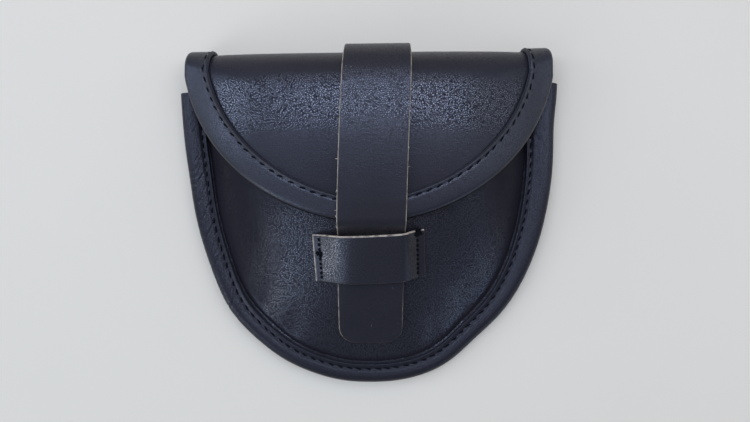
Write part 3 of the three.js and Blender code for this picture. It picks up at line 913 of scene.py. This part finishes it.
def hide_row(left, right, to_run, meets, across):
    """A row of the hide between its two edges, which bends with the roll near it."""
    bend = smoothstep(right[1], ROLL_FADE_Y, SIDE_START)
    x = lerp(left[0], right[0], across)
    level = lerp(getattr(roll_shape(left[0]), meets), getattr(roll_shape(right[0]), meets), across)
    y = lerp(left[1], right[1], across) + bend * (getattr(roll_shape(x), meets) - level)
    return x, to_run(x, y)


def neck_edge(side, y):
    share = smoothstep(y, MOUTH_Y, SIDE_START)
    return lerp(body_edge(np.float64(side * QUARTER), BODY_INSET)[0], side * (ROLL_HALF - FLAP_INSET), share)


def hide_rows(across):
    """x and run for each row: up the back, through the neck, round the roll and down the flap."""
    rows = []

    def add_row(left, right, to_run, meets):
        rows.append(hide_row(left, right, to_run, meets, across))

    for share in np.linspace(0, 1, BACK_ROWS):
        angle = lerp(TIP_ANGLE, QUARTER, lerp(share, math.sin(QUARTER * share), BACK_CROWD))
        add_row(body_edge(-angle, BODY_INSET), body_edge(angle, BODY_INSET), back_run, "start")
    for y in np.linspace(MOUTH_Y, SIDE_START, NECK_ROWS)[1:]:
        add_row((neck_edge(-1, y), y), (neck_edge(1, y), y), back_run, "start")
    half = ROLL_HALF - FLAP_INSET
    for run in np.linspace(0, ROLL_RUN, ROLL_ROWS)[1:]:
        rows.append((lerp(-half, half, across), np.full_like(across, run)))
    for share in np.linspace(0, 1, FLAP_ROWS):
        angle = lerp(FLAP_ANGLE, TIP_ANGLE, share)
        add_row(flap_edge(-angle, FLAP_INSET), flap_edge(angle, FLAP_INSET), flap_run, "end")
    return rows


def hide():
    """The back, the roll and the flap in one leather."""
    even = np.linspace(-1, 1, HIDE_COLUMNS)
    rows = hide_rows((1 + lerp(even, np.sin(QUARTER * even), HIDE_CROWD)) / 2)
    x = np.stack([row[0] for row in rows])
    run = np.stack([row[1] for row in rows])
    middle, normal = on_hide(x, run)
    marks = {"smooth": smooth_share(middle[..., 1])}
    piece = leather("hide", middle, normal, PANEL, "panel_leather", marks=marks)
    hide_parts("back_flap")


# Shares of the way from a fold's cut edge to its nose, above and below, and the turns round the nose
LEG = np.concatenate([[0, 0.012, 0.03, 0.045, 0.06, 0.08], np.linspace(0.1, 1, 26)])
UNDER_LEG = np.linspace(1, 0, 6)
NOSE = np.linspace(QUARTER, -QUARTER, 13)[1:-1]


def fold_swell(distance, band, puff, stitch_in):
    """How far a fold's face stands off a flat strip, at a distance from its cut edge."""
    lip = LIP * bell(distance - LIP_IN, LIP_HALF)
    groove = puff.groove * bell(distance - stitch_in, puff.groove_half)
    share = np.clip((distance - stitch_in) / (band - stitch_in), 0, 1)
    return lip - groove + puff.crown * np.sin(np.pi * share**CROWN_SKEW)


def folded_strip(place, off, inset, band, puff, stitch_in):
    """Middle points, normals, cut-edge distances and swell of a strip folded over an edge, row by row.

    place(s) gives points and normals at s in from the fold's outer edge, one for each row.
    """
    rows = []

    def add_leg(shares, side, swell_at):
        for share in shares:
            s = lerp(band, inset, share)
            point, normal = place(s)
            rows.append((point + side * normal * off, side * normal, band - s, swell_at(band - s)))

    add_leg(LEG, 1, lambda distance: fold_swell(distance, band, puff, stitch_in))
    nose_point, nose_normal = place(np.broadcast_to(inset, band.shape))
    out = unit(nose_point - place(np.broadcast_to(inset + NUDGE, band.shape))[0])
    top_swell = fold_swell(band - inset, band, puff, stitch_in)
    for turn in NOSE:
        normal = out * math.cos(turn) + nose_normal * math.sin(turn)
        rise = top_swell * max(0, math.sin(turn)) ** 2
        rows.append((nose_point + normal * off, normal, band - inset, rise))
    add_leg(UNDER_LEG, -1, np.zeros_like)
    return [np.stack(part, axis=1) for part in zip(*rows)]


def stitch_path(place, off, band, puff, stitch_in):
    """The line of the stitches on a strip's upper face, and the normals along it."""
    point, normal = place(band - stitch_in)
    return point + normal * (off + FOLD / 2 - puff.groove), normal


def upper_side(middle):
    """1 on a strip's upper leg and the upper half of its nose, and 0 below them."""
    upper = np.zeros(middle.shape[1])
    upper[: len(LEG) + (len(NOSE) + 1) // 2] = 1
    return upper


def body_binding():
    """The strip folded over the body's seam, creased most on its left, and its stitches."""
    cut = math.acos(((MOUTH_Y - BODY_CUT_LEFT_Y) / BODY_DEEP) ** (BODY_ROUND_LEFT / 2))
    creased = np.linspace(-cut, CREASED_END, CREASED_ROWS)
    angle = np.concatenate([creased, np.linspace(CREASED_END, QUARTER, PLAIN_ROWS)[1:]])
    edge_x, edge_y = body_edge(angle, 0)
    in_x, in_y = inward_of(body_edge, angle)
    band = body_band(edge_x, edge_y)

    def place(s):
        point = stack(edge_x + s * in_x, edge_y + s * in_y, np.full_like(edge_x, SEAM_Z))
        return point, stack(np.zeros_like(edge_x), 0.0, 1.0)

    stitch_in = lerp(STITCH_IN_BOTTOM, STITCH_IN_SIDE, np.sin(angle) ** BODY_BAND_POWER)
    puff = BODY_PUFF._replace(crown=lerp(CROWN_BOTTOM, BODY_PUFF.crown, np.sin(angle) ** 2))
    middle, normal, edge, swells = folded_strip(place, BODY_FOLD_OFF, BODY_INSET, band, puff, stitch_in)
    along = arc_length(np.stack([edge_x, edge_y], axis=-1))[:, None]
    total = along[-1, 0]
    left = random_creases(SEED + 2, LEFT_CREASE_RUN, LEFT_CREASES)
    right = random_creases(SEED + 3, (total - RIGHT_CREASE_RUN, total), RIGHT_CREASES)
    swells = swells - creases(along, edge, left + right) * upper_side(middle)
    piece = leather(
        "seam_binding", middle, normal, FOLD, "seam_leather",
        edge, BINDING_RIM, swells, skived=True,
    )
    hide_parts("body_binding")
    path, up = stitch_path(place, BODY_FOLD_OFF, band, puff, stitch_in)
    rolls = stitch_row(path, up, BODY_STITCH, SEED + 5)
    thread_piece("seam_stitches", rolls, THREAD_LOOK)


def flap_binding_rows():
    """A function that places the flap's binding at s in from its outer edge, row by row, and its width."""
    neck_y = np.linspace(MOUTH_Y + FLAP_NECK_CLEAR, SIDE_START, FLAP_NECK_ROWS)
    roll = np.linspace(0, ROLL_RUN, FLAP_ROLL_ROWS)[1:]
    angle = np.linspace(-FLAP_ANGLE, FLAP_ANGLE, FLAP_EDGE_ROWS)
    edge_x, edge_y = flap_edge(angle, 0)
    in_x, in_y = inward_of(flap_edge, angle)
    count = len(neck_y) + len(roll)

    def side_part(side, s):
        neck_s, roll_s = s[: len(neck_y)], s[len(neck_y):]
        neck_x = neck_edge(side, neck_y) + side * (FLAP_INSET - neck_s)
        roll_x = side * (ROLL_HALF - roll_s)
        return np.concatenate([neck_x, roll_x]), np.concatenate([back_run(neck_x, neck_y), roll])

    def flap_part(s):
        x = edge_x + s * in_x
        return x, flap_run(x, edge_y + s * in_y)

    def place(s):
        left_s, flap_s, right_s = np.split(s, [count, count + len(angle)])
        left, middle, right = side_part(-1, left_s), flap_part(flap_s), side_part(1, right_s[::-1])
        x = np.concatenate([left[0], middle[0], right[0][::-1]])
        run = np.concatenate([left[1], middle[1], right[1][::-1]])
        return on_hide(x, run)

    bend = np.concatenate([np.full(count, QUARTER), angle, np.full(count, QUARTER)])
    return place, lerp(FLAP_BAND_TIP, FLAP_BAND_SIDE, np.abs(np.sin(bend)))


def flap_binding():
    """The strip folded over the flap's edge, with painted shade on its nose, and its stitches."""
    place, band = flap_binding_rows()
    middle, normal, edge, swells = folded_strip(place, FLAP_FOLD_OFF, FLAP_INSET, band, FLAP_PUFF, STITCH_IN)
    along = arc_length(middle[:, len(LEG)])[:, None]
    ends = (FLAP_CREASE_CLEAR, float(along[-1, 0]) - FLAP_CREASE_CLEAR)
    dents = creases(along, edge, random_creases(SEED + 6, ends, FLAP_CREASES)) * upper_side(middle)
    swells = (swells - dents) * smoothstep(normal[..., 2], TURNED_UNDER, 0)
    # Painted shade: the gloss on the binding's nose is taken down
    nose = np.zeros(middle.shape[:2])
    nose[:, len(LEG) + 2: len(LEG) + len(NOSE)] = 1
    piece = leather(
        "flap_edge_binding", middle, normal, FOLD, "binding_leather",
        edge, BINDING_RIM, swells, marks={"painted_shade": nose}, skived=True,
    )
    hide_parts("flap_binding")
    path, up = stitch_path(place, FLAP_FOLD_OFF, band, FLAP_PUFF, STITCH_IN)
    shows = up[:, 2] > TURNED_UNDER
    rolls = stitch_row(path[shows], up[shows], FLAP_STITCH, SEED + 7)
    thread_piece("flap_stitches", rolls, THREAD_LOOK)


def strap_middle(y):
    from_end = y - STRAP_END_Y
    return STRAP_X + STRAP_LEAN * from_end + STRAP_BOW * from_end**2


def on_strap_front(x, y):
    """The strap's middle on the bag's front: it bridges the flap's binding and drops below it."""
    bridge = 1 - np.clip((y - FLAP_TIP_Y - FLAP_BAND_TIP) / STRAP_BRIDGE, 0, 1)
    high, high_normal = on_hide(x, flap_run(x, y))
    high = high + high_normal * (STRAP_OFF + bridge * (GAP + FOLD))[..., None]
    low, low_normal = on_height(front_height, x, y)
    low = low + low_normal * STRAP_OFF
    return lerp(low, high, smoothstep(y, DROP_LOW_Y, DROP_HIGH_Y)[..., None])


def strap_half(from_end):
    short = np.maximum(0, STRAP_CORNER - from_end)
    return STRAP_HALF - STRAP_CORNER + np.sqrt(STRAP_CORNER**2 - short**2)


# Shares of a strip's width, close to its edge, and of the strap's round corner
EDGE_SHARES = np.array([0, 0.004, 0.01, 0.02, 0.035, 0.06])
CORNER_SHARES = np.array([0, 0.02, 0.06, 0.12, 0.2, 0.3, 0.42, 0.56, 0.7, 0.85])


def from_edges(count):
    """Shares 0 to 1 across a strip, with extra ones close to both edges."""
    close = EDGE_SHARES[:-1]
    inner = np.linspace(EDGE_SHARES[-1], 1 - EDGE_SHARES[-1], count)
    return np.concatenate([close, inner, 1 - close[::-1]])


def strap_front(across, top):
    """Points of the strap from its round end up to the roll, and each row's y."""
    straight = np.linspace(STRAP_END_Y + STRAP_CORNER, top, STRAP_FRONT_ROWS)
    row_y = np.concatenate([STRAP_END_Y + STRAP_CORNER * CORNER_SHARES, straight])
    half = strap_half(row_y - STRAP_END_Y)[:, None]
    y = np.broadcast_to(row_y[:, None], (len(row_y), len(across)))
    return on_strap_front(strap_middle(y) + lerp(-half, half, across[None, :]), y), row_y


def strap_roll(flat):
    """Points of the strap round the roll, where it bulges off the hide, and each row's y."""
    turn = np.linspace(ROLL_RUN, 0, ROLL_ROWS)[1:-1]
    row_y = hide_middle(np.zeros_like(turn), turn)[:, 1]
    x = strap_middle(row_y)[:, None] + flat[None, :]
    points, normals = on_hide(x, np.broadcast_to(turn[:, None], x.shape))
    off = STRAP_OFF + STRAP_BULGE * np.sin(np.pi * turn / ROLL_RUN)
    return points + normals * off[:, None, None], row_y


def strap():
    """The closing strap, up the front, round the roll and straight down the back."""
    across = from_edges(STRAP_COLUMNS)
    flat = lerp(-STRAP_HALF, STRAP_HALF, across)
    roll = roll_shape(np.float64(0))
    front, front_y = strap_front(across, roll.end)
    rolled, roll_y = strap_roll(flat)
    back_y = np.linspace(roll.start, STRAP_BACK_Y, STRAP_BACK_ROWS)
    back = stack(strap_middle(back_y)[:, None] + flat[None, :], back_y[:, None], STRAP_Z)
    middle = np.concatenate([front, rolled, back])
    row_y = np.concatenate([front_y, roll_y, np.full(len(back_y), roll.start)])
    normal = unit(np.cross(np.gradient(middle, axis=1), np.gradient(middle, axis=0)))
    edge = strap_edge(row_y, across)
    smooth = np.broadcast_to(smooth_share(row_y)[:, None], edge.shape)
    piece = leather(
        "closing_strap", middle, normal, STRAP, "strap_leather",
        edge, STRAP_RIM, raw=strap_raw(edge, row_y, across), marks={"smooth": smooth},
    )
    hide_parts("strap")
    strap_fibres()


def strap_edge(row_y, across):
    """The distance of each point from the strap's cut edge."""
    from_end = (row_y - STRAP_END_Y)[:, None]
    half = strap_half(np.minimum(from_end, STRAP_CORNER))
    aside = np.abs(lerp(-half, half, across[None, :]))
    straight = np.minimum(STRAP_HALF - aside, from_end)
    inner = STRAP_HALF - STRAP_CORNER
    bent = STRAP_CORNER - np.hypot(np.maximum(0, aside - inner), np.maximum(0, STRAP_CORNER - from_end))
    return np.where((aside > inner) & (from_end < STRAP_CORNER), bent, straight)


def strap_raw(edge, row_y, across):
    """Where the raw core shows: all down the left, and on the right mostly over the flap."""
    y = row_y[:, None]
    left = smoothstep(y - STRAP_END_Y, *STRAP_RAW_LEFT)
    right = STRAP_RAW_LEAST + (1 - STRAP_RAW_LEAST) * smoothstep(y - FLAP_TIP_Y, *STRAP_RAW_RIGHT)
    above_spot = y - STRAP_END_Y - STRAP_RAW_SPOT["above_end"]
    right = right + STRAP_RAW_SPOT["share"] * bell(above_spot, STRAP_RAW_SPOT["half"])
    strength = np.where(across[None, :] < 0.5, left, right)
    return np.clip(strength, 0, 1) * (1 - smoothstep(edge, *RAW_FADE))


def strap_fibres():
    """Loose fibres that stand out of the strap's cut edges, most of them on the left."""
    draw = np.random.default_rng(SEED + 10)
    rolls = []
    for count, side in ((FIBRES_LEFT, -1), (FIBRES_RIGHT, 1)):
        for _ in range(count):
            y = np.array([draw.uniform(DROP_LOW_Y, MOUTH_Y - ROLL_REACH)])
            root = on_strap_front(strap_middle(y) + side * STRAP_HALF, y)[0]
            long = draw.uniform(*FIBRE_LONG)
            way = unit(np.array([side, draw.normal(0, FIBRE_STRAY), draw.uniform(*FIBRE_RISE)]))
            up = unit(np.cross(way, np.array([0.0, side, 0.2])))
            rolls.append(thread_roll(root + way * long / 2, way, up, long, FIBRE_THICK, 0))
    thread_piece("strap_fibres", rolls, FIBRE_LOOK)


def keeper_rise(long):
    """The keeper's rise along it, from 0 at its seams to 1 on its crest."""
    from_left = (KEEPER_LONG / 2 + long - KEEPER_SEAM_LEFT) / KEEPER_RAMP_LEFT
    from_right = (KEEPER_LONG / 2 - long - KEEPER_SEAM_RIGHT) / KEEPER_RAMP_RIGHT
    return soft_min(1, soft_max(0, np.minimum(from_left, from_right), KEEPER_BEND), KEEPER_BEND)


def keeper_middle(long, wide):
    x = KEEPER_X + long * math.cos(KEEPER_TILT) - wide * math.sin(KEEPER_TILT)
    y = KEEPER_Y + long * math.sin(KEEPER_TILT) + wide * math.cos(KEEPER_TILT)
    crest = lerp(KEEPER_CREST_LOW, KEEPER_CREST_HIGH, wide / KEEPER_WIDE + 0.5)
    point, normal = on_height(front_height, x, y)
    return point + normal * (KEEPER_OFF + crest * keeper_rise(long))[..., None]


def on_keeper(long, wide):
    along = keeper_middle(long + NUDGE, wide) - keeper_middle(long - NUDGE, wide)
    across = keeper_middle(long, wide + NUDGE) - keeper_middle(long, wide - NUDGE)
    return keeper_middle(long, wide), unit(np.cross(along, across))


def keeper():
    """The keeper, arched over the strap, with a groove along each of its seams."""
    long_shares = from_edges(KEEPER_COLUMNS)
    wide_shares = from_edges(KEEPER_ROWS)
    long, wide = np.meshgrid((long_shares - 0.5) * KEEPER_LONG, (wide_shares - 0.5) * KEEPER_WIDE)
    middle, normal = on_keeper(long, wide)
    left, right = long + KEEPER_LONG / 2, KEEPER_LONG / 2 - long
    low, high = wide + KEEPER_WIDE / 2, KEEPER_WIDE / 2 - wide
    edge = np.minimum(np.minimum(left, right), np.minimum(low, high))
    strength = np.where(left <= edge, KEEPER_RAW_LEFT, KEEPER_RAW_REST)
    strength = np.where(high <= edge, 1, strength)
    wider = np.where(left <= edge, KEEPER_LEFT_WIDER, 1)
    raw = strength * (1 - smoothstep(edge / wider, *RAW_FADE))
    seams = (KEEPER_SEAM_LEFT - KEEPER_LONG / 2, KEEPER_LONG / 2 - KEEPER_SEAM_RIGHT)
    groove = sum(KEEPER_GROOVE * bell(long - seam, KEEPER_GROOVE_HALF) for seam in seams)
    marks = {
        # Painted shade: less gloss on the keeper's right end
        "painted_shade": KEEPER_SHADE * smoothstep(long, *KEEPER_SHADE_LONG),
        "smooth": np.full_like(long, KEEPER_SMOOTH),
    }
    piece = leather(
        "keeper_strip", middle, normal, KEEPER, "keeper_leather",
        edge, KEEPER_RIM, -groove, raw, marks,
    )
    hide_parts("keeper")
    keeper_stitches(seams)


def keeper_stitches(seams):
    """A row of stitches on each of the keeper's seams, with a knot or tangle in each."""
    rolls = []
    end = KEEPER_WIDE / 2 - KEEPER_STITCH_CLEAR
    for seam, tangle in zip(seams, KNOTS):
        down = np.linspace(end, -end, SEAM_POINTS)
        path, up = on_keeper(np.full_like(down, seam), down)
        path = path + up * (KEEPER / 2 - KEEPER_GROOVE)
        seed = tangle["seed"]
        rolls += stitch_row(path, up, KEEPER_STITCH, seed)
        lengths = arc_length(path)
        at = np.array([tangle["down"]])
        spot = at_length(path, lengths, at)[0]
        above = unit(at_length(up, lengths, at)[0])
        forward = unit(path[1] - path[0])
        rolls += knot(spot, forward, above, tangle["size"], KEEPER_STITCH.thick, tangle["rolls"], seed)
    thread_piece("keeper_stitches", rolls, THREAD_LOOK)


def soft_light(row):
    """An area light that faces the bag."""
    light = bpy.data.lights.new(row.name, "AREA")
    light.shape = "RECTANGLE"
    light.size = row.wide
    light.size_y = row.high
    light.energy = row.power
    light.color = row.colour
    lamp = new_object(row.name, light)
    spot = np.array([math.tan(math.radians(row.lean_x)), math.tan(math.radians(row.lean_y)), 1.0])
    spot *= row.away / np.linalg.norm(spot)
    lamp.location = spot
    lamp.rotation_euler = Vector(-spot).to_track_quat("-Z", "Y").to_euler()


def stage():
    """The floor, the light all round and the area lights."""
    mesh = bpy.data.meshes.new("floor")
    corners = ((-1, -1), (1, -1), (1, 1), (-1, 1))
    mesh.from_pydata([(x * FLOOR_REACH, y * FLOOR_REACH, 0) for x, y in corners], [], [(0, 1, 2, 3)])
    floor = new_object("floor", mesh)
    mesh.materials.append(floor_material())
    world = bpy.data.worlds.new("studio")
    world.use_nodes = True
    sky = world.node_tree.nodes["Background"]
    sky.inputs["Color"].default_value = (*SKY_COLOUR, 1)
    sky.inputs["Strength"].default_value = SKY_STRENGTH
    bpy.context.scene.world = world
    for row in LIGHTS:
        soft_light(row)
    bpy.context.scene.view_settings.view_transform = "Standard"


def camera():
    """The camera, which looks straight down."""
    lens = bpy.data.cameras.new("camera")
    lens.sensor_width = SENSOR
    lens.sensor_fit = "HORIZONTAL"
    lens.lens = SENSOR * FOCAL_SHARE
    lens.clip_start = CLIP_START * MM
    eye = new_object("camera", lens)
    eye.location = np.array(CAMERA_SPOT) * MM
    bpy.context.scene.camera = eye


camera()
hide()
front_panel()
body_binding()
flap_binding()
strap()
keeper()
stage()
